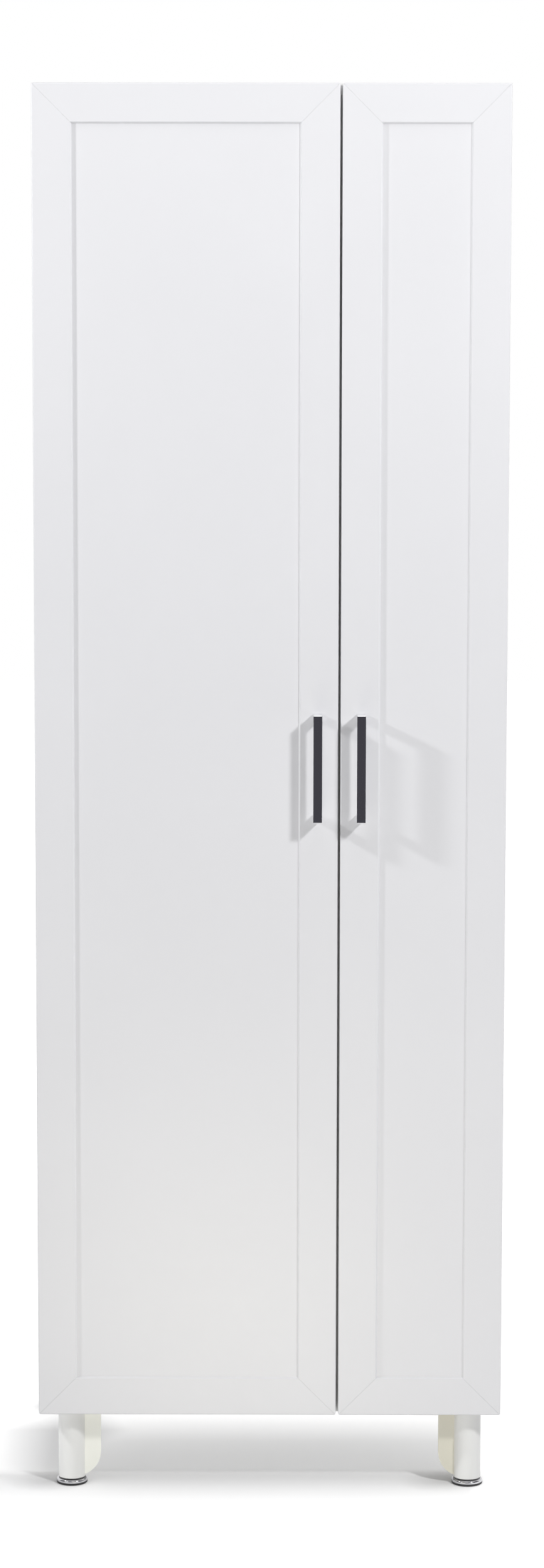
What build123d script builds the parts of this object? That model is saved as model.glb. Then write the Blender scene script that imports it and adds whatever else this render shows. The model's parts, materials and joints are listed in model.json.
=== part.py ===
from build123d import *
from math import floor, sqrt
import os

# Pantry cabinet with a wide left door and a narrow right door, in millimetres.
# X runs across the width, the doors face -Y, and Z is up from the floor.

# Carcass
cabinet_width = 600.0
carcass_height = 1700.0
carcass_depth = 376.0
leg_height = 100.0          # floor to the underside of the carcass
board = 16.0
board_edge_radius = 0.8
back_thickness = 3.0
back_margin = 1.0           # the back stops short of the carcass outline by this much

# Shelves, the middle one of each column fixed and the others on pins
shelf_count = 5             # shelves in each column, an odd number
shelf_thickness = 16.0
shelf_setback = 20.0        # front of a shelf behind the front of the carcass
shelf_side_play = 1.2
shelf_back_play = 1.0

# Shelf pins and their rows of holes
pin_hole_radius = 2.5
pin_hole_depth = 7.5
pin_hole_inset = 37.0       # from the carcass front and back
pin_hole_pitch = 32.0
pin_hole_steps = (-1, 0, 1)
shelf_pin_play = 0.05
pin_collar_radius = 4.0
pin_collar_thickness = 0.9
pin_tongue_length = 7.0
pin_tongue_width = 6.0

# Doors, each a mitred frame round a flat panel
door_thickness = 18.0
door_standoff = 3.0         # door back to carcass front
door_reveal = 1.5           # door edge inside the carcass outline
door_gap = 3.0              # between the two doors
door_split = 387.0          # left face of the cabinet to the middle of that gap
frame_width = 50.0
frame_bevel = 2.0
panel_recess = 3.0
panel_thickness = 6.0
groove_depth = 9.0
groove_play = 0.2
door_edge_radius = 1.5
door_corner_radius = 3.0
mitre_groove = 0.45         # side of the square groove that shows as a fine V at each mitre

# Pulls
handle_spacing = 128.0      # between the two screws
handle_width = 11.0
handle_post = 8.0
handle_bar = 8.0            # thickness of the grip, front to back
handle_projection = 30.0
handle_inset = 26.0         # free edge of the door to the middle of the pull
handle_rise = 843.5         # bottom of the door to the middle of the pull
handle_edge = 0.6
handle_thread_depth = 14.0

# Cup hinges
cup_radius = 17.5
cup_edge = 3.0              # door edge to the cup
cup_depth = 12.0
cup_wall = 1.0
cup_floor = 0.8
cup_play = 0.1
flange_thickness = 0.8
flange_lip = 1.0
flange_length = 62.0
flange_width = 16.0
flange_offset = 6.0         # middle of the cup to the line of its screws
cup_screw_spacing = 48.0
pivot_inset = 8.0           # door edge to the hinge pin
pivot_depth = 8.5           # door back to the hinge pin
hinge_pin_radius = 1.25
hinge_pin_play = 0.05
knuckle_radius = 2.2
cheek_margin = 2.4          # metal round the pin in the cup
cheek_gap = 0.3
cheek_thickness = 3.7
nose_width = 8.0
arm_width = 14.0
arm_thickness = 2.2
arm_reach = 12.5            # hinge pin to the middle of the straight arm
arm_length = 60.0           # behind the carcass front
arm_wall = 1.2
arm_play = 0.3
plate_thickness = 2.0
plate_width = 18.0
plate_height = 48.0
plate_inset = 37.0          # carcass front to the line of its screws
plate_screw_spacing = 32.0
plate_block_start = 12.0    # carcass front to the raised block
clamp_inset = 50.0          # carcass front to the screw that holds the arm
hinge_end_offset = 85.0     # end board to the outer hinges
hinge_shelf_offset = 75.0   # shelf to the inner hinges

# Legs with levelling feet
leg_inset = 42.0            # side of the cabinet to the middle of the leg
leg_setback = 18.0          # carcass front or back to the middle of the leg
leg_radius = 17.5
leg_wall = 3.0
leg_floor = 14.0
wing_length = 38.0
wing_thickness = 8.0
wing_corner = 33.0
leg_flange_margin = 15.0    # middle of the leg to the outer edges of its flange
leg_flange_reach = 42.0     # middle of the leg to the inner edges of its flange
leg_flange_thickness = 3.0
leg_screw_near = 12.0
leg_screw_far = 31.0
foot_radius = 20.0
foot_thickness = 7.0
foot_edge_top = 2.5
foot_edge_bottom = 1.0
foot_collar_radius = 8.0
foot_collar = 2.0
foot_stem_radius = 5.0
foot_stem_length = 30.0
foot_stem_play = 0.1

# Fasteners
screw_play = 0.05
head_round_share = 0.4      # radius of a screw head's rim over its height
recess_width = 0.9
recess_share = 0.62         # length of the cross recess over the head
recess_depth_share = 0.6
carcass_screw_head = 4.8
carcass_screw_head_height = 3.0
carcass_screw_radius = 3.0
carcass_screw_length = 47.0
carcass_screw_inset = 110.0
cap_radius = 6.5
cap_thickness = 1.2
cap_edge = 0.8
dowel_radius = 4.0
dowel_length = 66.0
wood_screw_head = 3.4
wood_screw_head_height = 1.8
wood_screw_radius = 1.75
cup_screw_length = 12.0
plate_screw_length = 13.0
leg_screw_length = 14.0
clamp_screw_head = 3.6
clamp_screw_head_height = 2.0
clamp_screw_radius = 2.5
clamp_screw_length = 5.0
handle_screw_head = 4.0
handle_screw_head_height = 2.2
handle_screw_radius = 2.0
handle_screw_bite = 10.0    # length of the screw inside the pull
nail_head_radius = 3.0
nail_head_height = 0.8
nail_radius = 0.9
nail_length = 20.0
nail_pitch = 150.0
nail_end = 60.0             # carcass outline to the end nails
bumper_radius = 4.0
bumper_edge = 0.8
bumper_inset = 14.0         # free edge of the door to the bumper
bumper_play = 0.1

# Places along the depth, centred on the whole cabinet with its pulls and nail heads
cabinet_depth = (handle_projection + door_thickness + door_standoff + carcass_depth
                 + back_thickness + nail_head_height)
door_front_y = -cabinet_depth / 2 + handle_projection
door_back_y = door_front_y + door_thickness
front_y = door_back_y + door_standoff
back_y = front_y + carcass_depth
rear_y = back_y + back_thickness

# Places across the width
left_x = -cabinet_width / 2
right_x = cabinet_width / 2
inner_left_x = left_x + board
inner_right_x = right_x - board
gap_x = left_x + door_split
divider_left_x = gap_x - board / 2
divider_right_x = gap_x + board / 2
door_left_x = left_x + door_reveal
door_right_x = right_x - door_reveal

# Places along the height
base_z = leg_height
floor_z = base_z + board
top_z = base_z + carcass_height
ceiling_z = top_z - board
door_bottom_z = base_z + door_reveal
door_top_z = top_z - door_reveal
bay_height = (ceiling_z - floor_z - shelf_count * shelf_thickness) / (shelf_count + 1)
shelf_zs = [floor_z + bay_height + n * (bay_height + shelf_thickness) for n in range(shelf_count)]
fixed_z = shelf_zs[shelf_count // 2]
pinned_zs = [z for z in shelf_zs if z != fixed_z]
handle_z = door_bottom_z + handle_rise
hinge_zs = [
    floor_z + hinge_end_offset,
    shelf_zs[1] + shelf_thickness + hinge_shelf_offset,
    shelf_zs[-2] - hinge_shelf_offset,
    ceiling_z - hinge_end_offset,
]

# Hinge lines of the left door; the right door mirrors them
pivot_x = door_left_x + pivot_inset
pivot_y = door_back_y - pivot_depth
cup_x = door_left_x + cup_edge + cup_radius
cup_screw_x = cup_x + flange_offset
arm_x = pivot_x + arm_reach
arm_inner_x = arm_x - arm_thickness / 2
arm_outer_x = arm_x + arm_thickness / 2
arm_end_y = front_y + arm_length
plate_y = front_y + plate_inset
clamp_y = front_y + clamp_inset

os.makedirs("parts", exist_ok=True)


def save(builder, name):
    """Label a finished piece and write it as its own file."""
    builder.part.label = name
    export_step(builder.part, f"parts/{name}.step")


def block(low, high, mode=Mode.ADD):
    """Box between two opposite corners, in the current part."""
    size = [b - a for a, b in zip(low, high)]
    middle = [(a + b) / 2 for a, b in zip(low, high)]
    with Locations(tuple(middle)):
        Box(*size, mode=mode)


def rod(points, direction, radius, length, mode=Mode.ADD):
    """Round bars from the given points along a direction, in the current part."""
    with Locations(*[Plane(origin=point, z_dir=direction) for point in points]):
        Cylinder(radius, length, align=(Align.CENTER, Align.CENTER, Align.MIN), mode=mode)


def drill(points, direction, radius, depth):
    """Round holes from the given points along a direction, in the current part."""
    rod(points, direction, radius, depth, mode=Mode.SUBTRACT)


def make_group(piece, points, direction):
    """Copies of one piece, its own Z turned along the direction, as separate solids."""
    with BuildPart() as group:
        with Locations(*[Plane(origin=point, z_dir=direction) for point in points]):
            add(piece.part)
    return group


def make_mirrored(piece, plane):
    """Mirror image of a finished piece."""
    with BuildPart() as image:
        mirror(piece.part, about=plane)
    return image


def make_screw(head_radius, head_height, radius, length):
    """Cross-recessed screw, its head seated at the origin and its shank along -Z."""
    with BuildPart() as screw:
        rod([(0, 0, 0)], (0, 0, 1), head_radius, head_height)
        fillet(screw.edges().group_by(Axis.Z)[-1], head_height * head_round_share)
        rod([(0, 0, 0)], (0, 0, -1), radius, length)
        recess = 2 * head_radius * recess_share
        recess_depth = head_height * recess_depth_share
        recess_z = head_height - recess_depth / 2
        with Locations((0, 0, recess_z)):
            Box(recess, recess_width, recess_depth, mode=Mode.SUBTRACT)
            Box(recess_width, recess, recess_depth, mode=Mode.SUBTRACT)
    return screw


def spread(low, high, pitch):
    """Evenly spaced places from low to high, about one pitch apart."""
    count = max(1, floor((high - low) / pitch))
    return [low + (high - low) * n / count for n in range(count + 1)]


# Rows of holes shared by the boards and what goes in them
screw_ys = (front_y + carcass_screw_inset, back_y - carcass_screw_inset)
end_board_zs = (base_z + board / 2, top_z - board / 2)
fixed_middle_z = fixed_z + shelf_thickness / 2
side_screws = [(left_x, y, z) for y in screw_ys for z in (*end_board_zs, fixed_middle_z)]
side_seats = [(left_x + carcass_screw_head_height, y, z) for _, y, z in side_screws]
carcass_screw_bite = carcass_screw_length - (board - carcass_screw_head_height)
pin_ys = (front_y + pin_hole_inset, back_y - pin_hole_inset)
pin_zs = [z - pin_hole_radius for z in pinned_zs]
pin_hole_zs = [z + step * pin_hole_pitch for z in pin_zs for step in pin_hole_steps]
plate_screws = [(inner_left_x, plate_y, z + side * plate_screw_spacing / 2)
                for z in hinge_zs for side in (-1, 1)]
dowel_points = [(gap_x - dowel_length / 2, y, fixed_middle_z) for y in screw_ys]
upright_nails = [(x, rear_y, z) for x in (left_x + board / 2, gap_x, right_x - board / 2)
                 for z in spread(base_z + nail_end, top_z - nail_end, nail_pitch)]
level_nails = [(x, rear_y, z) for z in end_board_zs
               for x in spread(left_x + nail_end, right_x - nail_end, nail_pitch)]


def nail_holes(points):
    """Holes for the back nails, from the rear face of the back."""
    drill(points, (0, -1, 0), nail_radius + screw_play, nail_length)


def soften_front(part):
    """Small radius on the two long front edges of a board."""
    long_edges = part.edges().group_by(Axis.Y)[0]
    longest = long_edges.sort_by(SortBy.LENGTH)[-2:]
    fillet(longest, board_edge_radius)


# Sides, with shelf pin holes, hinge screw holes and stepped holes for the carcass screws
with BuildPart() as side_panel_left:
    block((left_x, front_y, base_z), (inner_left_x, back_y, top_z))
    soften_front(side_panel_left)
    drill(side_screws, (1, 0, 0), carcass_screw_head + screw_play, carcass_screw_head_height)
    drill(side_screws, (1, 0, 0), carcass_screw_radius + screw_play, board)
    drill([(inner_left_x, y, z) for y in pin_ys for z in pin_hole_zs], (-1, 0, 0),
          pin_hole_radius, pin_hole_depth)
    drill(plate_screws, (-1, 0, 0), wood_screw_radius + screw_play, plate_screw_length)
    nail_holes([point for point in upright_nails if point[0] < inner_left_x])
save(side_panel_left, "side_panel_left")
side_panel_right = make_mirrored(side_panel_left, Plane.YZ)
save(side_panel_right, "side_panel_right")

# Places of the leg screws under the bottom, for the front left leg and then for all four
leg_x = left_x + leg_inset
leg_y = front_y + leg_setback
middle_y = (front_y + back_y) / 2
leg_screw_steps = ((leg_screw_far, leg_screw_near), (leg_screw_near, leg_screw_far),
                   (leg_screw_far, leg_screw_far))
leg_screw_points = [(side_x * (-leg_x - dx), middle_y + side_y * (middle_y - leg_y - dy), base_z)
                    for side_x in (-1, 1) for side_y in (-1, 1) for dx, dy in leg_screw_steps]


def end_holes(z):
    """Screw holes in the two ends of a board that spans between the sides."""
    radius = carcass_screw_radius + screw_play
    drill([(inner_left_x, y, z) for y in screw_ys], (1, 0, 0), radius, carcass_screw_bite)
    drill([(inner_right_x, y, z) for y in screw_ys], (-1, 0, 0), radius, carcass_screw_bite)


def divider_screw_holes(z, direction):
    """Stepped holes through an end board for the screws into the divider."""
    points = [(gap_x, y, z) for y in screw_ys]
    drill(points, direction, carcass_screw_head + screw_play, carcass_screw_head_height)
    drill(points, direction, carcass_screw_radius + screw_play, board)


# Top and bottom between the sides
with BuildPart() as top_panel:
    block((inner_left_x, front_y, ceiling_z), (inner_right_x, back_y, top_z))
    soften_front(top_panel)
    end_holes(end_board_zs[1])
    divider_screw_holes(top_z, (0, 0, -1))
    nail_holes([point for point in level_nails if point[2] > ceiling_z])
save(top_panel, "top_panel")

with BuildPart() as bottom_panel:
    block((inner_left_x, front_y, base_z), (inner_right_x, back_y, floor_z))
    soften_front(bottom_panel)
    end_holes(end_board_zs[0])
    divider_screw_holes(base_z, (0, 0, 1))
    drill(leg_screw_points, (0, 0, 1), wood_screw_radius + screw_play,
          leg_screw_length - leg_flange_thickness)
    nail_holes([point for point in level_nails if point[2] < floor_z])
save(bottom_panel, "bottom_panel")

# Upright divider behind the gap between the doors
with BuildPart() as divider_panel:
    block((divider_left_x, front_y, floor_z), (divider_right_x, back_y, ceiling_z))
    soften_front(divider_panel)
    drill([(gap_x, y, floor_z) for y in screw_ys], (0, 0, 1),
          carcass_screw_radius + screw_play, carcass_screw_bite)
    drill([(gap_x, y, ceiling_z) for y in screw_ys], (0, 0, -1),
          carcass_screw_radius + screw_play, carcass_screw_bite)
    drill(dowel_points, (1, 0, 0), dowel_radius + screw_play, dowel_length)
    drill([(divider_left_x, y, z) for y in pin_ys for z in pin_hole_zs], (1, 0, 0),
          pin_hole_radius, pin_hole_depth)
    drill([(divider_right_x, y, z) for y in pin_ys for z in pin_hole_zs], (-1, 0, 0),
          pin_hole_radius, pin_hole_depth)
    nail_holes([point for point in upright_nails if point[0] == gap_x])
save(divider_panel, "divider_panel")

# Hardboard back, nailed on
with BuildPart() as back_panel:
    block((left_x + back_margin, back_y, base_z + back_margin),
          (right_x - back_margin, rear_y, top_z - back_margin))
    nail_holes(upright_nails + level_nails)
save(back_panel, "back_panel")

with BuildPart() as back_nail:
    rod([(0, 0, 0)], (0, 0, 1), nail_head_radius, nail_head_height)
    rod([(0, 0, 0)], (0, 0, -1), nail_radius, nail_length)
save(make_group(back_nail, upright_nails + level_nails, (0, 1, 0)), "back_nails")

# Fixed shelves, screwed to the sides and dowelled through the divider
columns = {"wide": (inner_left_x, divider_left_x), "narrow": (divider_right_x, inner_right_x)}
for column, (low_x, high_x) in columns.items():
    with BuildPart() as fixed_shelf:
        block((low_x, front_y + shelf_setback, fixed_z),
              (high_x, back_y, fixed_z + shelf_thickness))
        soften_front(fixed_shelf)
        end_holes(fixed_middle_z)
        drill(dowel_points, (1, 0, 0), dowel_radius + screw_play, dowel_length)
    save(fixed_shelf, f"fixed_shelf_{column}")

with BuildPart() as shelf_dowels:
    rod(dowel_points, (1, 0, 0), dowel_radius, dowel_length)
save(shelf_dowels, "shelf_dowels")

# Loose shelves on pins
for column, (low_x, high_x) in columns.items():
    for number, shelf_z in enumerate(pinned_zs, 1):
        with BuildPart() as shelf:
            block((low_x + shelf_side_play, front_y + shelf_setback, shelf_z),
                  (high_x - shelf_side_play, back_y - shelf_back_play, shelf_z + shelf_thickness))
            soften_front(shelf)
        save(shelf, f"{column}_shelf_{number}")

# Shelf pin along +Z: a peg in the hole, a collar on the board and a flat-topped tongue.
# Its own X points down once it is turned into place.
with BuildPart() as shelf_pin:
    rod([(0, 0, 0)], (0, 0, -1), pin_hole_radius - shelf_pin_play, pin_hole_depth - 2 * shelf_pin_play)
    rod([(0, 0, 0)], (0, 0, 1), pin_collar_radius, pin_collar_thickness)
    block((-pin_hole_radius, -pin_tongue_width / 2, 0),
          (pin_hole_radius, pin_tongue_width / 2, pin_collar_thickness + pin_tongue_length))

for column, (low_x, high_x) in columns.items():
    with BuildPart() as shelf_pins:
        for face_x, direction in ((low_x, (1, 0, 0)), (high_x, (-1, 0, 0))):
            pin_points = [(face_x, y, z) for y in pin_ys for z in pin_zs]
            with Locations(*[Plane(origin=point, x_dir=(0, 0, -1), z_dir=direction)
                             for point in pin_points]):
                add(shelf_pin.part)
    save(shelf_pins, f"shelf_pins_{column}")

# Carcass screws, seated below the face of the boards, with a cap over each that shows
carcass_screw = make_screw(carcass_screw_head, carcass_screw_head_height,
                           carcass_screw_radius, carcass_screw_length)
with BuildPart() as cap:
    rod([(0, 0, 0)], (0, 0, 1), cap_radius, cap_thickness)
    fillet(cap.edges().group_by(Axis.Z)[-1], cap_edge)

screw_rows = [
    (side_seats, (-1, 0, 0)),
    ([(-x, y, z) for x, y, z in side_seats], (1, 0, 0)),
    ([(gap_x, y, top_z - carcass_screw_head_height) for y in screw_ys], (0, 0, 1)),
    ([(gap_x, y, base_z + carcass_screw_head_height) for y in screw_ys], (0, 0, -1)),
]
with BuildPart() as carcass_screws:
    for points, direction in screw_rows:
        with Locations(*[Plane(origin=point, z_dir=direction) for point in points]):
            add(carcass_screw.part)
save(carcass_screws, "carcass_screws")

cap_rows = [
    (side_screws, (-1, 0, 0)),
    ([(-x, y, z) for x, y, z in side_screws], (1, 0, 0)),
]
with BuildPart() as screw_caps:
    for points, direction in cap_rows:
        with Locations(*[Plane(origin=point, z_dir=direction) for point in points]):
            add(cap.part)
save(screw_caps, "screw_caps")

# Door frame section: X runs from the outer edge inwards, Y from the front to the back
inner_face = frame_width - frame_bevel
groove_floor = frame_width - groove_depth
groove_back = panel_recess + panel_thickness + groove_play


def make_frame_member(plane, length, outline):
    """One side of a door frame along the plane's Z, mitred at both ends, inside the door's outline."""
    with BuildPart() as member:
        with BuildSketch(plane) as section:
            with BuildLine():
                Polyline(
                    (0, 0),
                    (inner_face, 0),
                    (frame_width, panel_recess),
                    (groove_floor, panel_recess),
                    (groove_floor, groove_back),
                    (frame_width, groove_back),
                    (frame_width, door_thickness),
                    (0, door_thickness),
                    close=True,
                )
            make_face()
            fillet(section.vertices().group_by(Axis.X)[0], door_edge_radius)
        extrude(amount=length)
        split(bisect_by=Plane(plane.origin, z_dir=plane.z_dir - plane.x_dir), keep=Keep.TOP)
        far_end = plane.origin + plane.z_dir * length
        split(bisect_by=Plane(far_end, z_dir=-plane.z_dir - plane.x_dir), keep=Keep.TOP)
        for corner, along in ((plane.origin, plane.z_dir), (far_end, -plane.z_dir)):
            with BuildSketch(Plane(corner, x_dir=plane.y_dir, z_dir=plane.x_dir + along)):
                Rectangle(mitre_groove, mitre_groove, rotation=45)
            extrude(amount=frame_width * sqrt(2), mode=Mode.SUBTRACT)
        add(outline.part, mode=Mode.INTERSECT)
    return member


def handle_points(x):
    """Places of a pull's two screws on the front of the door."""
    return [(x, door_front_y, handle_z + side * handle_spacing / 2) for side in (-1, 1)]


def make_handle(x):
    """Straight pull with two square posts, drilled from behind for its screws."""
    half = handle_spacing / 2 + handle_post / 2
    inner = handle_spacing / 2 - handle_post / 2
    bar_back = handle_projection - handle_bar
    with BuildPart() as handle:
        side_view = Plane(origin=(x, door_front_y, handle_z), x_dir=(0, -1, 0), z_dir=(-1, 0, 0))
        with BuildSketch(side_view):
            with BuildLine():
                Polyline(
                    (0, half),
                    (handle_projection, half),
                    (handle_projection, -half),
                    (0, -half),
                    (0, -inner),
                    (bar_back, -inner),
                    (bar_back, inner),
                    (0, inner),
                    close=True,
                )
            make_face()
        extrude(amount=handle_width / 2, both=True)
        seat_edges = handle.edges().group_by(Axis.Y)[-1]
        chamfer(handle.edges() - seat_edges, handle_edge)
        drill(handle_points(x), (0, -1, 0), handle_screw_radius + screw_play, handle_thread_depth)
    return handle


handle_screw = make_screw(handle_screw_head, handle_screw_head_height,
                          handle_screw_radius, door_thickness + handle_screw_bite)
wood_screws = {length: make_screw(wood_screw_head, wood_screw_head_height, wood_screw_radius, length)
               for length in (cup_screw_length, plate_screw_length, leg_screw_length)}
with BuildPart() as bumper:
    rod([(0, 0, 0)], (0, 0, 1), bumper_radius, door_standoff - bumper_play)
    fillet(bumper.edges().group_by(Axis.Z)[-1], bumper_edge)

cup_screws = [(cup_screw_x, door_back_y, z + side * cup_screw_spacing / 2)
              for z in hinge_zs for side in (-1, 1)]
cup_points = [(cup_x, door_back_y, z) for z in hinge_zs]


def make_door(name, low_x, high_x, side):
    """Frame, panel, pull and bumpers of one door; side is -1 where it hinges on the left."""
    width = high_x - low_x
    height = door_top_z - door_bottom_z
    free_x = high_x if side < 0 else low_x
    handle_x = free_x + side * handle_inset
    middle = ((low_x + high_x) / 2, door_back_y, (door_bottom_z + door_top_z) / 2)
    with BuildPart() as outline:
        with BuildSketch(Plane(middle, x_dir=(1, 0, 0), z_dir=(0, -1, 0))):
            RectangleRounded(width, height, door_corner_radius)
        extrude(amount=door_thickness)

    starts = {
        "left": ((low_x, door_front_y, door_bottom_z), (1, 0, 0), (0, 0, 1), height),
        "right": ((high_x, door_front_y, door_top_z), (-1, 0, 0), (0, 0, -1), height),
        "top_rail": ((low_x, door_front_y, door_top_z), (0, 0, -1), (1, 0, 0), width),
        "bottom_rail": ((high_x, door_front_y, door_bottom_z), (0, 0, 1), (-1, 0, 0), width),
    }
    members = {
        end: make_frame_member(Plane(corner, x_dir=inwards, z_dir=along), length, outline)
        for end, (corner, inwards, along, length) in starts.items()
    }
    hinge_end, free_end = ("left", "right") if side < 0 else ("right", "left")

    with BuildPart() as hinge_stile:
        add(members[hinge_end].part)
        drill([(-side * x, y, z) for x, y, z in cup_points], (0, -1, 0),
              cup_radius + cup_play, cup_depth + cup_play)
        drill([(-side * x, y, z) for x, y, z in cup_screws], (0, -1, 0),
              wood_screw_radius + screw_play, cup_screw_length)
    save(hinge_stile, f"{name}_hinge_stile")

    with BuildPart() as handle_stile:
        add(members[free_end].part)
        drill(handle_points(handle_x), (0, 1, 0), handle_screw_radius + screw_play, door_thickness)
    save(handle_stile, f"{name}_handle_stile")
    save(members["top_rail"], f"{name}_top_rail")
    save(members["bottom_rail"], f"{name}_bottom_rail")

    panel_edge = groove_floor + groove_play
    panel_front = door_front_y + panel_recess + groove_play / 2
    with BuildPart() as panel:
        block((low_x + panel_edge, panel_front, door_bottom_z + panel_edge),
              (high_x - panel_edge, panel_front + panel_thickness, door_top_z - panel_edge))
    save(panel, f"{name}_panel")

    save(make_handle(handle_x), f"{name}_handle")
    screw_seats = [(x, door_back_y, z) for x, _, z in handle_points(handle_x)]
    save(make_group(handle_screw, screw_seats, (0, 1, 0)), f"{name}_handle_screws")
    bumper_points = [(free_x + side * bumper_inset, door_back_y, z) for z in end_board_zs]
    save(make_group(bumper, bumper_points, (0, 1, 0)), f"{name}_bumpers")


make_door("left", door_left_x, gap_x - door_gap / 2, -1)
make_door("right", gap_x + door_gap / 2, door_right_x, 1)

# Hinge cup in the left door at height 0, with two cheeks that hold the pin
into_door = Plane(origin=(cup_x, door_back_y, 0), x_dir=(1, 0, 0), z_dir=(0, -1, 0))
out_of_door = Plane(origin=(cup_x, door_back_y, 0), x_dir=(1, 0, 0), z_dir=(0, 1, 0))
cheek_low = nose_width / 2 + cheek_gap
cheek_high = cheek_low + cheek_thickness
cheek_x = cup_x - sqrt(cup_radius ** 2 - cheek_high ** 2) + cheek_gap
cup_floor_y = door_back_y - cup_depth + cup_floor
with BuildPart() as hinge_cup:
    with BuildSketch(into_door):
        Circle(cup_radius)
    extrude(amount=cup_depth)
    with BuildSketch(out_of_door):
        Circle(cup_radius + flange_lip)
        with Locations((flange_offset, 0)):
            SlotOverall(flange_length, flange_width, rotation=90)
    extrude(amount=flange_thickness)
    with BuildSketch(out_of_door.offset(flange_thickness)):
        Circle(cup_radius - cup_wall)
    extrude(amount=-(flange_thickness + cup_depth - cup_floor), mode=Mode.SUBTRACT)
    for cheek_z in (-cheek_high, cheek_low):
        block((cheek_x, cup_floor_y - cup_floor / 2, cheek_z),
              (pivot_x + cheek_margin, pivot_y + cheek_margin, cheek_z + cheek_thickness))
    drill([(pivot_x, pivot_y, -cheek_high)], (0, 0, 1), hinge_pin_radius + hinge_pin_play, 2 * cheek_high)
    flange_y = door_back_y + flange_thickness
    flange_holes = [(cup_screw_x, flange_y, side * cup_screw_spacing / 2) for side in (-1, 1)]
    drill(flange_holes, (0, -1, 0), wood_screw_radius + screw_play, flange_thickness)

with BuildPart() as hinge_pin:
    rod([(pivot_x, pivot_y, -cheek_high)], (0, 0, 1), hinge_pin_radius, 2 * cheek_high)

# Hinge arm: an eye on the pin, a nose across the cup and a channel along the side of the carcass
with BuildPart() as hinge_arm:
    with BuildSketch(Plane.XY.offset(-nose_width / 2)):
        with Locations((pivot_x, pivot_y)):
            Circle(knuckle_radius)
        with Locations(((pivot_x + arm_x) / 2, pivot_y)):
            Rectangle(arm_reach, arm_thickness)
    extrude(amount=nose_width)
    straight_low_y = pivot_y - arm_thickness / 2
    with BuildSketch(Plane.XY.offset(-arm_width / 2)) as straight:
        with Locations((arm_x, (straight_low_y + arm_end_y) / 2)):
            Rectangle(arm_thickness, arm_end_y - straight_low_y)
        fillet(straight.vertices().group_by(Axis.Y)[0].sort_by(Axis.X)[-1], arm_thickness / 2)
    extrude(amount=arm_width)
    channel_x = inner_left_x + plate_thickness + arm_play
    for wall_z in (-arm_width / 2, arm_width / 2 - arm_wall):
        block((channel_x, front_y + plate_block_start, wall_z),
              (arm_inner_x, arm_end_y, wall_z + arm_wall))
    drill([(pivot_x, pivot_y, -nose_width / 2)], (0, 0, 1), hinge_pin_radius + hinge_pin_play, nose_width)
    drill([(arm_outer_x, clamp_y, 0)], (-1, 0, 0), clamp_screw_radius + screw_play, arm_thickness)

# Mounting plate on the side of the carcass, with a raised block under the arm
with BuildPart() as hinge_plate:
    with BuildSketch(Plane(origin=(inner_left_x, plate_y, 0), x_dir=(0, 1, 0), z_dir=(1, 0, 0))):
        SlotOverall(plate_height, plate_width, rotation=90)
    extrude(amount=plate_thickness)
    block_half = arm_width / 2 - arm_wall - arm_play
    block((inner_left_x, front_y + plate_block_start, -block_half), (arm_inner_x, arm_end_y, block_half))
    drill([(arm_inner_x, clamp_y, 0)], (-1, 0, 0), clamp_screw_radius + screw_play,
          clamp_screw_length - arm_thickness)
    plate_face_x = inner_left_x + plate_thickness
    plate_holes = [(plate_face_x, plate_y, side * plate_screw_spacing / 2) for side in (-1, 1)]
    drill(plate_holes, (-1, 0, 0), wood_screw_radius + screw_play, plate_thickness)

hinge_groups = {
    "hinge_cups": make_group(hinge_cup, [(0, 0, z) for z in hinge_zs], (0, 0, 1)),
    "hinge_pins": make_group(hinge_pin, [(0, 0, z) for z in hinge_zs], (0, 0, 1)),
    "hinge_arms": make_group(hinge_arm, [(0, 0, z) for z in hinge_zs], (0, 0, 1)),
    "hinge_plates": make_group(hinge_plate, [(0, 0, z) for z in hinge_zs], (0, 0, 1)),
    "cup_screws": make_group(wood_screws[cup_screw_length],
                             [(x, y + flange_thickness, z) for x, y, z in cup_screws], (0, 1, 0)),
}
for name, group in hinge_groups.items():
    save(group, f"left_{name}")
    save(make_mirrored(group, Plane.YZ), f"right_{name}")

clamp_screw = make_screw(clamp_screw_head, clamp_screw_head_height,
                         clamp_screw_radius, clamp_screw_length)
arm_screws_left = make_group(clamp_screw, [(arm_outer_x, clamp_y, z) for z in hinge_zs], (1, 0, 0))
plate_screws_left = make_group(wood_screws[plate_screw_length],
                               [(x + plate_thickness, y, z) for x, y, z in plate_screws], (1, 0, 0))
with BuildPart() as hinge_arm_screws:
    add(arm_screws_left.part)
    mirror(arm_screws_left.part, about=Plane.YZ)
save(hinge_arm_screws, "hinge_arm_screws")
with BuildPart() as hinge_plate_screws:
    add(plate_screws_left.part)
    mirror(plate_screws_left.part, about=Plane.YZ)
save(hinge_plate_screws, "hinge_plate_screws")

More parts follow.
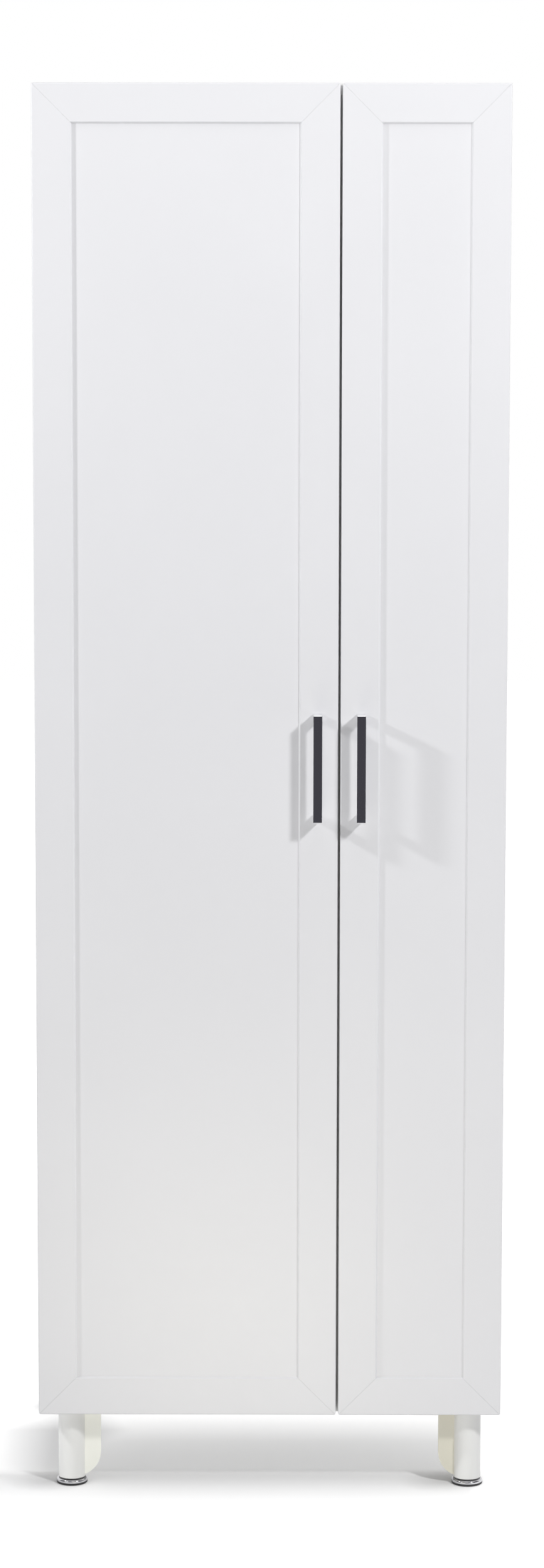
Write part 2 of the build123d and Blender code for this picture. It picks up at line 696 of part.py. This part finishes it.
# Front left leg: a hollow column, two wings with rounded lower corners and a screwed flange
leg_bottom_z = foot_thickness + foot_collar
wing_height = base_z - leg_bottom_z
with BuildPart() as leg:
    rod([(leg_x, leg_y, leg_bottom_z)], (0, 0, 1), leg_radius, wing_height)
    for wing_dir, wing_normal in (((1, 0, 0), (0, -1, 0)), ((0, 1, 0), (1, 0, 0))):
        wing_plane = Plane(origin=(leg_x, leg_y, leg_bottom_z), x_dir=wing_dir, z_dir=wing_normal)
        with BuildSketch(wing_plane) as wing:
            Rectangle(wing_length, wing_height, align=(Align.MIN, Align.MIN))
            fillet(wing.vertices().group_by(Axis.Y)[0].sort_by(Axis.X)[-1], wing_corner)
        extrude(amount=wing_thickness / 2, both=True)
    block((leg_x - leg_flange_margin, leg_y - leg_flange_margin, base_z - leg_flange_thickness),
          (leg_x + leg_flange_reach, leg_y + leg_flange_reach, base_z))
    drill([(leg_x, leg_y, leg_bottom_z + leg_floor)], (0, 0, 1), leg_radius - leg_wall, wing_height)
    drill([(leg_x, leg_y, leg_bottom_z)], (0, 0, 1), foot_stem_radius + foot_stem_play, leg_floor)
    drill([(leg_x + dx, leg_y + dy, base_z) for dx, dy in leg_screw_steps], (0, 0, -1),
          wood_screw_radius + screw_play, leg_flange_thickness)

# Chrome levelling foot with its stem
with BuildPart() as foot:
    rod([(leg_x, leg_y, 0)], (0, 0, 1), foot_radius, foot_thickness)
    fillet(foot.edges().group_by(Axis.Z)[-1], foot_edge_top)
    fillet(foot.edges().group_by(Axis.Z)[0], foot_edge_bottom)
    rod([(leg_x, leg_y, foot_thickness)], (0, 0, 1), foot_collar_radius, foot_collar)
    rod([(leg_x, leg_y, leg_bottom_z)], (0, 0, 1), foot_stem_radius, foot_stem_length)

front_to_rear = Plane(origin=(0, middle_y, 0), z_dir=(0, 1, 0))
for name, front_left in (("leg", leg), ("foot", foot)):
    rear_left = make_mirrored(front_left, front_to_rear)
    save(front_left, f"{name}_front_left")
    save(rear_left, f"{name}_rear_left")
    save(make_mirrored(front_left, Plane.YZ), f"{name}_front_right")
    save(make_mirrored(rear_left, Plane.YZ), f"{name}_rear_right")

leg_screw_seats = [(x, y, base_z - leg_flange_thickness) for x, y, _ in leg_screw_points]
save(make_group(wood_screws[leg_screw_length], leg_screw_seats, (0, 0, -1)), "leg_screws")
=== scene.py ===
import json
from math import cos, radians, sin

import bpy
from mathutils import Matrix, Vector


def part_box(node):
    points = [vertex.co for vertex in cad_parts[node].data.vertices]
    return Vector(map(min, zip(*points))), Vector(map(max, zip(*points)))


# White pantry cabinet in a plain white studio, in metres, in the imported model's own frame

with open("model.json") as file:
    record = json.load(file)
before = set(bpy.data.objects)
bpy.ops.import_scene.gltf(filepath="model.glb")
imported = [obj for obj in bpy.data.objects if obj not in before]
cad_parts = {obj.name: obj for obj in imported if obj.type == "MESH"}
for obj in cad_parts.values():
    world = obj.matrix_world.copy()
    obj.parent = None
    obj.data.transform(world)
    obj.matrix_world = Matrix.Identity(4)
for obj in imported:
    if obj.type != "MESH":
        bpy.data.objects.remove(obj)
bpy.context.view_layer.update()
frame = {"nodes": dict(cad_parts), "record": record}
nodes = frame["nodes"]
slot_of = {part["node"]: part["material_slot"] for part in frame["record"]["subparts"]}

# Places read from the model
door_front_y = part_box("left_hinge_stile")[0].y
pulls_middle = (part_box("left_handle")[0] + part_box("right_handle")[1]) / 2
foot_low, foot_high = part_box("foot_front_left")
rear_foot_low, rear_foot_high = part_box("foot_rear_left")
leg_low, leg_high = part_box("leg_front_left")
leg_axis_x = abs(foot_low.x + foot_high.x) / 2
front_leg_y = (foot_low.y + foot_high.y) / 2
rear_leg_y = (rear_foot_low.y + rear_foot_high.y) / 2
legs_middle_y = (front_leg_y + rear_leg_y) / 2
legs_half_y = (rear_leg_y - front_leg_y) / 2
front_legs_middle = Vector((0.0, front_leg_y, (leg_low.z + leg_high.z) / 2))

# Where one node changes from one finish to another, or gets painted light or shade
black_band_height = 0.003        # top of the black band at the bottom of the feet
black_band_blend = 0.0002
column_radius = 0.0176      # just outside the round column of a leg
shade_bevel_rise = 0.7            # how far up the normal of the lower bevels points, and its spread; those bevels get painted shade
shade_bevel_rise_spread = 0.25
painted_facing = -0.5       # the hardboard is painted where its normal points further forward

# Noise in the materials
noise_low = 0.3             # soft noise mostly lies between these two
noise_high = 0.7
noise_detail = 2.0

# Camera, fitted to the corners of the doors and to the feet in a picture 2500 pixels tall
image_height_px = 2500
focal_px = 5698
sensor_mm = 36.0
camera_distance = 4.5       # to the front of the doors
camera_height = 1.444
camera_x = 0.0128
camera_tilt = radians(83.40)     # up from straight down
camera_turn = radians(0.139)     # to the left
camera_roll = radians(0.091)

# Studio light: a bright ceiling, a key lamp on the right, a grazing lamp on the left that spares
# the floor, a soft box above and a low warm fill in front
horizon_strength = 0.08
ceiling_strength = 0.69
sky_colour = (0.99, 0.99, 1.0, 1)
background_white = (1, 1, 1, 1)
key_direction = Vector((0.87, -1.0, 0.80))       # from the pulls towards the lamp
key_distance = 3.0
key_size = 0.32
key_power = 44.0
side_direction = Vector((-3.05, -1.0, 1.62))
side_distance = 2.2
side_size = 0.15
side_power = 19.0
box_direction = Vector((0.0, -0.35, 1.0))
box_distance = 1.9
box_size = 1.0
box_power = 4.0
fill_direction = Vector((-0.3, -1.0, -1.5))
fill_distance = 1.0
fill_size = 0.4
fill_power = 0.65
fill_colour = (1.0, 0.95, 0.74)

# Two low lamps that light the legs alone
leg_front_direction = Vector((0.25, -1.0, 0.1))      # from between the front legs to the lamp
leg_front_distance = 1.6
leg_front_power = 2.8
leg_side_direction = Vector((-1.0, -0.25, 0.05))
leg_side_distance = 1.4
leg_side_power = 3.4
leg_lamp_size = 0.35

# Floor, which glows for the camera, and glows less in three shades: along the front legs, along the
# left side and beside the feet
floor_half = 12.0
floor_colour = (0.878, 0.878, 0.881, 1)
floor_glow_most = 0.8

# Shade along the front legs: places from front to back and the glow there
front_glow = ((-0.6, 0.8), (-0.22, 0.34), (-0.122, 0.16), (-0.107, 0.195), (-0.09, 0.33),
              (-0.03, 0.385), (0.03, 0.455), (0.15, 0.8), (0.24, 0.6), (0.5, 0.8))
right_glow_rise = 12.0      # for each metre past the right legs
left_glow_rise = 3.5        # for each metre past the left legs
left_rise_line = (-0.122, -0.085)       # from front to back, where that rise sets in
left_rise_least = 0.1       # share of the rise in front of that
left_shade_end = 0.37       # how far to the left the shade goes
left_end_rise = 4.0         # for each metre past that

# Shade along a line just left of the left legs
side_glow = 0.285
side_line_shift = 0.018     # from the middle of the legs
side_shade_half = 0.017     # how far to either side of that line
side_shade_start = -0.15    # how far to the front
side_shade_end = 0.08       # how far to the back
side_glow_rise = 4.54       # for each metre past those

# Shade beside the feet
foot_shade_shift = 0.03     # to the left of the feet
foot_shade_half = (0.06, 0.045)

# Dim screen round the camera side of the room, with two gaps, that only polished metal mirrors
screen_radius = 2.5
screen_height = 3.2
screen_panels = ((-100, -50), (-36, 36), (50, 100))      # degrees either side of the camera
screen_step = 2             # degrees
screen_colour = (0.062, 0.060, 0.071, 1)


def link(obj):
    """Add a new object to the scene."""
    bpy.context.scene.collection.objects.link(obj)
    return obj


def add_node(tree, kind, inputs=None, **settings):
    """Add a shader node, with its properties set and its inputs set or linked."""
    node = tree.nodes.new("ShaderNode" + kind)
    for name, value in settings.items():
        setattr(node, name, value)
    for name, value in (inputs or {}).items():
        if isinstance(value, bpy.types.NodeSocket):
            tree.links.new(value, node.inputs[name])
        else:
            node.inputs[name].default_value = value
    return node


def calculate(tree, operation, *values):
    """Result of a Math node on values or sockets."""
    return add_node(tree, "Math", dict(enumerate(values)), operation=operation).outputs["Value"]


def spread(tree, value, start, end, low, high):
    """Spread a value from start to end over low to high, and no further."""
    inputs = {"Value": value, "From Min": start, "From Max": end, "To Min": low, "To Max": high}
    return add_node(tree, "MapRange", inputs).outputs["Result"]


def excess(tree, value, limit):
    """How far a value is past a limit, or 0."""
    return calculate(tree, "MAXIMUM", calculate(tree, "SUBTRACT", value, limit), 0.0)


def from_legs(tree, x, y, units=(1.0, 1.0)):
    """How far a place is from the axis of the nearest leg, in units across and along."""
    from_middle = calculate(tree, "ABSOLUTE", calculate(tree, "SUBTRACT", y, legs_middle_y))
    across = calculate(tree, "SUBTRACT", calculate(tree, "ABSOLUTE", x), leg_axis_x)
    along = calculate(tree, "SUBTRACT", from_middle, legs_half_y)
    squares = 0.0
    for offset, unit in zip((across, along), units):
        share = calculate(tree, "DIVIDE", offset, unit)
        squares = calculate(tree, "MULTIPLY_ADD", share, share, squares)
    return calculate(tree, "SQRT", squares)


class Finish:
    """One material: its shader, and the noise, mixes and bumps that drive it."""

    def __init__(self, name, **constants):
        self.material = bpy.data.materials.new(name)
        self.material.use_nodes = True
        self.tree = self.material.node_tree
        self.shader = self.tree.nodes["Principled BSDF"]
        self.coordinates = self.add("TexCoord")
        for socket, value in constants.items():
            self.shader.inputs[socket.replace("_", " ").title()].default_value = value

    def add(self, kind, inputs=None, **settings):
        """Add a node to the material."""
        return add_node(self.tree, kind, inputs, **settings)

    def math(self, operation, *values):
        """Result of a Math node in the material."""
        return calculate(self.tree, operation, *values)

    def drive(self, socket, value):
        """Link a value to one of the shader's inputs."""
        self.tree.links.new(value, self.shader.inputs[socket])

    def axes(self, kind):
        """X, Y and Z of the Object or Normal coordinates."""
        return self.add("SeparateXYZ", {"Vector": self.coordinates.outputs[kind]}).outputs

    def noise(self, scale, detail=noise_detail, stretch=(1.0, 1.0, 1.0)):
        """Soft noise in the object's own space, with that many features in a metre."""
        place = self.add("Mapping", {"Vector": self.coordinates.outputs["Object"],
                                     "Scale": stretch})
        inputs = {"Vector": place.outputs["Vector"], "Scale": scale, "Detail": detail}
        return self.add("TexNoise", inputs).outputs["Fac"]

    def between(self, value, low, high, start=noise_low, end=noise_high):
        """Spread a value, by default a noise, over low to high."""
        return spread(self.tree, value, start, end, low, high)

    def ramp(self, value, stops):
        """Colours along a value, as a list of places and colours."""
        node = self.add("ValToRGB", {"Fac": value})
        elements = node.color_ramp.elements
        for element, (place, colour) in zip(elements, (stops[0], stops[-1])):
            element.position = place
            element.color = colour
        for place, colour in stops[1:-1]:
            elements.new(place).color = colour
        return node.outputs["Color"]

    def tint(self, noise, first, second):
        """Drift between two colours along a noise."""
        return self.ramp(noise, [(noise_low, first), (noise_high, second)])

    def mix(self, factor, first, second):
        """Blend two colours or colour sockets."""
        node = self.add("Mix", data_type="RGBA")
        colour_inputs = [socket for socket in node.inputs if socket.type == "RGBA"]
        self.tree.links.new(factor, node.inputs["Factor"])
        for socket, value in zip(colour_inputs, (first, second)):
            if isinstance(value, bpy.types.NodeSocket):
                self.tree.links.new(value, socket)
            else:
                socket.default_value = value
        return next(socket for socket in node.outputs if socket.type == "RGBA")

    def bump(self, height, depth):
        """Raise the surface by a height from 0 to 1 times a real depth."""
        node = self.add("Bump", {"Height": height, "Distance": depth, "Strength": 1.0})
        self.drive("Normal", node.outputs["Normal"])

    def vary_colour(self, first, second, scale, detail=noise_detail):
        """Base colour that drifts between two colours."""
        self.drive("Base Color", self.tint(self.noise(scale, detail), first, second))

    def vary_roughness(self, low, high, scale, detail=noise_detail):
        """Roughness that drifts between two values."""
        self.drive("Roughness", self.between(self.noise(scale, detail), low, high))

    def grain(self, depth, scale, detail=noise_detail):
        """Fine relief of a real depth."""
        self.bump(self.noise(scale, detail), depth)


def door_foil():
    """Satin white foil on the doors with a faint pressed grain, and painted shade that makes bevels
    facing up darker.
    """
    foil = Finish("door_foil")
    drift = foil.noise(scale=4.0)
    white = foil.tint(drift, first=(0.796, 0.797, 0.818, 1), second=(0.811, 0.812, 0.833, 1))
    # painted shade: bevels that face up are drawn darker than the flat foil, standing in for weaker
    # light from above
    painted_bevel_shade = foil.tint(drift, first=(0.67, 0.671, 0.688, 1), second=(0.682, 0.683, 0.7, 1))
    shaded_bevel_mask = foil.math("COMPARE", foil.axes("Normal")["Z"], shade_bevel_rise, shade_bevel_rise_spread)
    foil.drive("Base Color", foil.mix(shaded_bevel_mask, white, painted_bevel_shade))
    foil.vary_roughness(low=0.36, high=0.44, scale=90.0)
    foil.grain(depth=0.00002, scale=650.0)
    return foil.material


def melamine():
    """White melamine board with a fine pearl grain."""
    board = Finish("melamine")
    board.vary_colour(first=(0.785, 0.785, 0.782, 1), second=(0.806, 0.806, 0.802, 1), scale=5.0)
    board.vary_roughness(low=0.38, high=0.5, scale=300.0)
    board.grain(depth=0.00003, scale=900.0, detail=3.0)
    return board.material


def hardboard():
    """Hardboard back: white paint towards the shelves, bare brown fibre behind."""
    back = Finish("hardboard")
    fibre = back.noise(scale=420.0, detail=6.0, stretch=(1.0, 1.0, 0.35))
    brown = back.ramp(fibre, stops=[(0.25, (0.105, 0.058, 0.028, 1)),
                                    (0.5, (0.19, 0.112, 0.056, 1)),
                                    (0.75, (0.285, 0.185, 0.1, 1))])
    paint = (0.79, 0.79, 0.785, 1)
    painted = back.math("LESS_THAN", back.axes("Normal")["Y"], painted_facing)
    back.drive("Base Color", back.mix(painted, brown, paint))
    back.drive("Roughness", back.between(painted, low=0.78, high=0.42, start=0.0, end=1.0))
    back.bump(fibre, depth=0.00012)
    return back.material


def chrome():
    """Polished chrome with a trace of handling marks."""
    metal = Finish("chrome", metallic=1.0)
    metal.vary_colour(first=(0.79, 0.79, 0.81, 1), second=(0.82, 0.82, 0.84, 1), scale=9.0)
    metal.vary_roughness(low=0.06, high=0.09, scale=25.0, detail=4.0)
    return metal.material


def foot_chrome():
    """Polished chrome discs, drawn darker as painted shade on what they mirror, and black at their
    bottom.
    """
    metal = Finish("foot_chrome")
    black = (0.022, 0.022, 0.024, 1)
    # painted shade: the discs are drawn darker than the chrome of the pulls, to dim what they
    # mirror
    dimmed_shine = metal.tint(metal.noise(scale=30.0), first=(0.58, 0.58, 0.6, 1),
                       second=(0.62, 0.62, 0.64, 1))
    plated = metal.between(metal.axes("Object")["Z"], low=0.0, high=1.0, start=black_band_height,
                           end=black_band_height + black_band_blend)
    metal.drive("Base Color", metal.mix(plated, black, dimmed_shine))
    metal.drive("Metallic", plated)
    scuffs = metal.between(metal.noise(scale=120.0, detail=4.0), low=0.07, high=0.13)
    dull = metal.between(plated, low=0.45, high=0.0, start=0.0, end=1.0)
    metal.drive("Roughness", metal.math("ADD", scuffs, dull))
    return metal.material


def nickel_steel():
    """Pressed steel with a satin nickel plate."""
    metal = Finish("nickel_steel", metallic=1.0)
    metal.vary_colour(first=(0.56, 0.545, 0.52, 1), second=(0.66, 0.645, 0.62, 1), scale=120.0)
    metal.vary_roughness(low=0.2, high=0.32, scale=500.0, detail=4.0)
    metal.grain(depth=0.00001, scale=700.0)
    return metal.material


def zinc_screw():
    """Zinc plated screws and nails, a little blotchy."""
    metal = Finish("zinc_screw", metallic=1.0)
    metal.vary_colour(first=(0.47, 0.475, 0.49, 1), second=(0.64, 0.645, 0.66, 1), scale=900.0,
                      detail=4.0)
    metal.vary_roughness(low=0.28, high=0.45, scale=1500.0)
    return metal.material


def clear_rubber():
    """Clear soft bumpers."""
    rubber = Finish("clear_rubber", transmission_weight=0.75)
    rubber.vary_colour(first=(0.84, 0.85, 0.85, 1), second=(0.92, 0.92, 0.92, 1), scale=500.0)
    rubber.vary_roughness(low=0.25, high=0.4, scale=900.0)
    return rubber.material


def cap_plastic():
    """White moulded caps with a fine leathery grain."""
    cap = Finish("cap_plastic")
    cap.vary_colour(first=(0.78, 0.78, 0.772, 1), second=(0.81, 0.81, 0.802, 1), scale=300.0)
    cap.vary_roughness(low=0.35, high=0.5, scale=900.0)
    cap.grain(depth=0.00004, scale=1800.0)
    return cap.material


def beech():
    """Beech dowels with the grain along their length."""
    wood = Finish("beech")
    fibre = wood.noise(scale=700.0, detail=5.0, stretch=(0.06, 1.0, 1.0))
    brown = wood.tint(fibre, first=(0.44, 0.26, 0.135, 1), second=(0.6, 0.4, 0.235, 1))
    wood.drive("Base Color", brown)
    wood.drive("Roughness", wood.between(fibre, low=0.6, high=0.75))
    wood.bump(fibre, depth=0.0001)
    return wood.material


def leg_plastic():
    """Glossy moulded legs: a white column with cream wings, painted near white on the left as
    painted light and darker and browner on the right as painted shade.
    """
    leg = Finish("leg_plastic")
    flow = leg.noise(scale=18.0)
    white = leg.tint(flow, first=(0.78, 0.782, 0.77, 1), second=(0.79, 0.792, 0.78, 1))
    # painted light: the wings on the left are drawn near white
    painted_lit_ivory = leg.tint(flow, first=(0.97, 0.975, 0.905, 1), second=(0.98, 0.985, 0.915, 1))
    # painted shade: the wings on the right are drawn darker and browner
    painted_shaded_ivory = leg.tint(flow, first=(0.695, 0.672, 0.57, 1), second=(0.713, 0.69, 0.588, 1))
    place = leg.axes("Object")
    # the right half of the legs gets the painted shade
    on_shaded_right = leg.math("GREATER_THAN", place["X"], 0.0)
    from_axis = from_legs(leg.tree, place["X"], place["Y"])
    on_wing = leg.math("GREATER_THAN", from_axis, column_radius)
    leg.drive("Base Color", leg.mix(on_wing, white, leg.mix(on_shaded_right, painted_lit_ivory, painted_shaded_ivory)))
    leg.vary_roughness(low=0.3, high=0.36, scale=900.0, detail=1.0)
    return leg.material


def finish_nodes():
    """Give every CAD node the material of its slot."""
    makers = (door_foil, melamine, hardboard, chrome, nickel_steel, zinc_screw, clear_rubber,
              cap_plastic, beech, leg_plastic)
    materials = {maker.__name__: maker() for maker in makers}
    feet = foot_chrome()
    for name, obj in nodes.items():
        obj.data.materials.clear()
        obj.data.materials.append(feet if name.startswith("foot_") else materials[slot_of[name]])


def seen_directly(tree):
    """1 for rays from the camera, a mirror or glass, and 0 for the light that falls on things."""
    rays = add_node(tree, "LightPath").outputs
    mirrored = calculate(tree, "MAXIMUM", rays["Is Glossy Ray"], rays["Is Transmission Ray"])
    return calculate(tree, "MAXIMUM", rays["Is Camera Ray"], mirrored)


def add_world():
    """Soft light from all round, more from the ceiling, seen as plain white."""
    world = bpy.data.worlds.new("studio")
    world.use_nodes = True
    tree = world.node_tree
    tree.nodes.clear()
    direction = add_node(tree, "TexCoord").outputs["Generated"]
    rise = add_node(tree, "SeparateXYZ", {"Vector": direction}).outputs["Z"]
    strength = spread(tree, rise, 0.0, 1.0, horizon_strength, ceiling_strength)
    light = add_node(tree, "Background", {"Color": sky_colour, "Strength": strength})
    white = add_node(tree, "Background", {"Color": background_white, "Strength": 1.0})
    choice = add_node(tree, "MixShader", {"Fac": seen_directly(tree),
                                          1: light.outputs["Background"],
                                          2: white.outputs["Background"]})
    add_node(tree, "OutputWorld", {"Surface": choice.outputs["Shader"]})
    bpy.context.scene.world = world


def stage_material(name):
    """Empty material, and the input that its shader goes to."""
    material = bpy.data.materials.new(name)
    material.use_nodes = True
    material.node_tree.nodes.clear()
    output = add_node(material.node_tree, "OutputMaterial")
    return material, output.inputs["Surface"]


def add_stage(name, points, faces, material):
    """Piece of the studio, which isn't part of the cabinet."""
    mesh = bpy.data.meshes.new(name)
    mesh.from_pydata(points, [], faces)
    mesh.materials.append(material)
    piece = link(bpy.data.objects.new(name, mesh))
    return piece


def front_shade(tree, x, y):
    """Glow of the floor from front to back, which rises past the legs on either side."""
    glow = front_glow[0][1]
    for (start, low), (end, high) in zip(front_glow, front_glow[1:]):
        glow = calculate(tree, "ADD", glow, spread(tree, y, start, end, 0.0, high - low))
    right = excess(tree, x, leg_axis_x)
    glow = calculate(tree, "MULTIPLY_ADD", right, right_glow_rise, glow)
    left = excess(tree, -leg_axis_x, x)
    left_rise = spread(tree, y, *left_rise_line, left_rise_least * left_glow_rise, left_glow_rise)
    glow = calculate(tree, "MULTIPLY_ADD", left, left_rise, glow)
    far_left = excess(tree, -left_shade_end, x)
    return calculate(tree, "MULTIPLY_ADD", far_left, left_end_rise, glow)


def side_shade(tree, x, y):
    """Glow of the floor along the left side, which rises all round that line."""
    line_x = leg_axis_x + side_line_shift
    from_line = calculate(tree, "ABSOLUTE", calculate(tree, "ADD", x, line_x))
    outside = excess(tree, from_line, side_shade_half)
    outside = calculate(tree, "ADD", outside, excess(tree, side_shade_start, y))
    outside = calculate(tree, "ADD", outside, excess(tree, y, side_shade_end))
    return calculate(tree, "MULTIPLY_ADD", outside, side_glow_rise, side_glow)


def floor_glow(tree):
    """Glow of the floor: the lesser of both shades, fading to none beside the feet."""
    place = add_node(tree, "SeparateXYZ", {"Vector": add_node(tree, "TexCoord").outputs["Object"]})
    x = place.outputs["X"]
    y = place.outputs["Y"]
    shade = calculate(tree, "MINIMUM", front_shade(tree, x, y), side_shade(tree, x, y))
    level = calculate(tree, "MINIMUM", shade, floor_glow_most)
    shifted = calculate(tree, "ADD", x, foot_shade_shift)
    from_feet = from_legs(tree, shifted, y, units=foot_shade_half)
    return calculate(tree, "MULTIPLY", level, calculate(tree, "MINIMUM", from_feet, 1.0))


def add_floor():
    """White floor that glows for the camera and keeps the cabinet's shadow."""
    material, surface = stage_material("floor")
    tree = material.node_tree
    strength = calculate(tree, "MULTIPLY", seen_directly(tree), floor_glow(tree))
    paint = add_node(tree, "BsdfDiffuse", {"Color": floor_colour})
    glow = add_node(tree, "Emission", {"Strength": strength})
    both = add_node(tree, "AddShader", {0: paint.outputs["BSDF"], 1: glow.outputs["Emission"]})
    tree.links.new(both.outputs["Shader"], surface)
    half = floor_half
    corners = [(-half, -half, 0), (half, -half, 0), (half, half, 0), (-half, half, 0)]
    return add_stage("floor", corners, [(0, 1, 2, 3)], material)


def add_screen():
    """Dim screen round the camera side of the room, which only shows in polished metal."""
    material, surface = stage_material("screen")
    tree = material.node_tree
    glow = add_node(tree, "Emission", {"Color": screen_colour, "Strength": 1.0})
    tree.links.new(glow.outputs["Emission"], surface)
    points = []
    faces = []
    for start, end in screen_panels:
        for angle in range(start, end, screen_step):
            first = len(points)
            for turn in (radians(angle), radians(min(angle + screen_step, end))):
                x = screen_radius * sin(turn)
                y = door_front_y - screen_radius * cos(turn)
                points += [(x, y, 0), (x, y, screen_height)]
            faces.append((first, first + 2, first + 3, first + 1))
    screen = add_stage("screen", points, faces, material)
    screen.visible_camera = False
    screen.visible_diffuse = False
    screen.visible_transmission = False
    screen.visible_shadow = False


def add_lamp(name, direction, distance, size, power, target=pulls_middle):
    """Round soft lamp aimed from a direction at the pulls, or at another target."""
    data = bpy.data.lights.new(name, "AREA")
    data.shape = "DISK"
    data.size = size
    data.energy = power
    lamp = link(bpy.data.objects.new(name, data))
    lamp.location = target + direction.normalized() * distance
    lamp.rotation_euler = direction.to_track_quat("Z", "Y").to_euler()
    lamp.visible_camera = False
    return lamp


def choose_lit(lamp, pieces, state):
    """Let a lamp light these pieces alone (INCLUDE), or everything but them (EXCLUDE)."""
    receivers = bpy.data.collections.new(lamp.name + "_receivers")
    for place, piece in enumerate(pieces):
        receivers.objects.link(piece)
        receivers.collection_objects[place].light_linking.link_state = state
    lamp.light_linking.receiver_collection = receivers


def add_camera():
    """Camera in front of the doors, tilted a little down."""
    data = bpy.data.cameras.new("camera")
    data.sensor_width = sensor_mm
    data.lens = focal_px / image_height_px * sensor_mm
    camera = link(bpy.data.objects.new("camera", data))
    place = Matrix.Translation((camera_x, door_front_y - camera_distance, camera_height))
    turn = Matrix.Rotation(camera_turn, 4, "Z")
    tilt = Matrix.Rotation(camera_tilt, 4, "X")
    roll = Matrix.Rotation(camera_roll, 4, "Z")
    camera.matrix_world = place @ turn @ tilt @ roll
    bpy.context.scene.camera = camera


bpy.context.scene.view_settings.view_transform = "Standard"
finish_nodes()
add_world()
floor = add_floor()
add_screen()
add_lamp("key_lamp", key_direction, key_distance, key_size, key_power)
side_lamp = add_lamp("side_lamp", side_direction, side_distance, side_size, side_power)
choose_lit(side_lamp, [floor], "EXCLUDE")
add_lamp("soft_box", box_direction, box_distance, box_size, box_power)
fill_lamp = add_lamp("fill_lamp", fill_direction, fill_distance, fill_size, fill_power)
fill_lamp.data.color = fill_colour
legs = [obj for name, obj in nodes.items() if slot_of[name] == "leg_plastic"]
leg_lamps = (("leg_front_lamp", leg_front_direction, leg_front_distance, leg_front_power),
             ("leg_side_lamp", leg_side_direction, leg_side_distance, leg_side_power))
for name, direction, distance, power in leg_lamps:
    leg_lamp = add_lamp(name, direction, distance, leg_lamp_size, power, front_legs_middle)
    choose_lit(leg_lamp, legs, "INCLUDE")
add_camera()
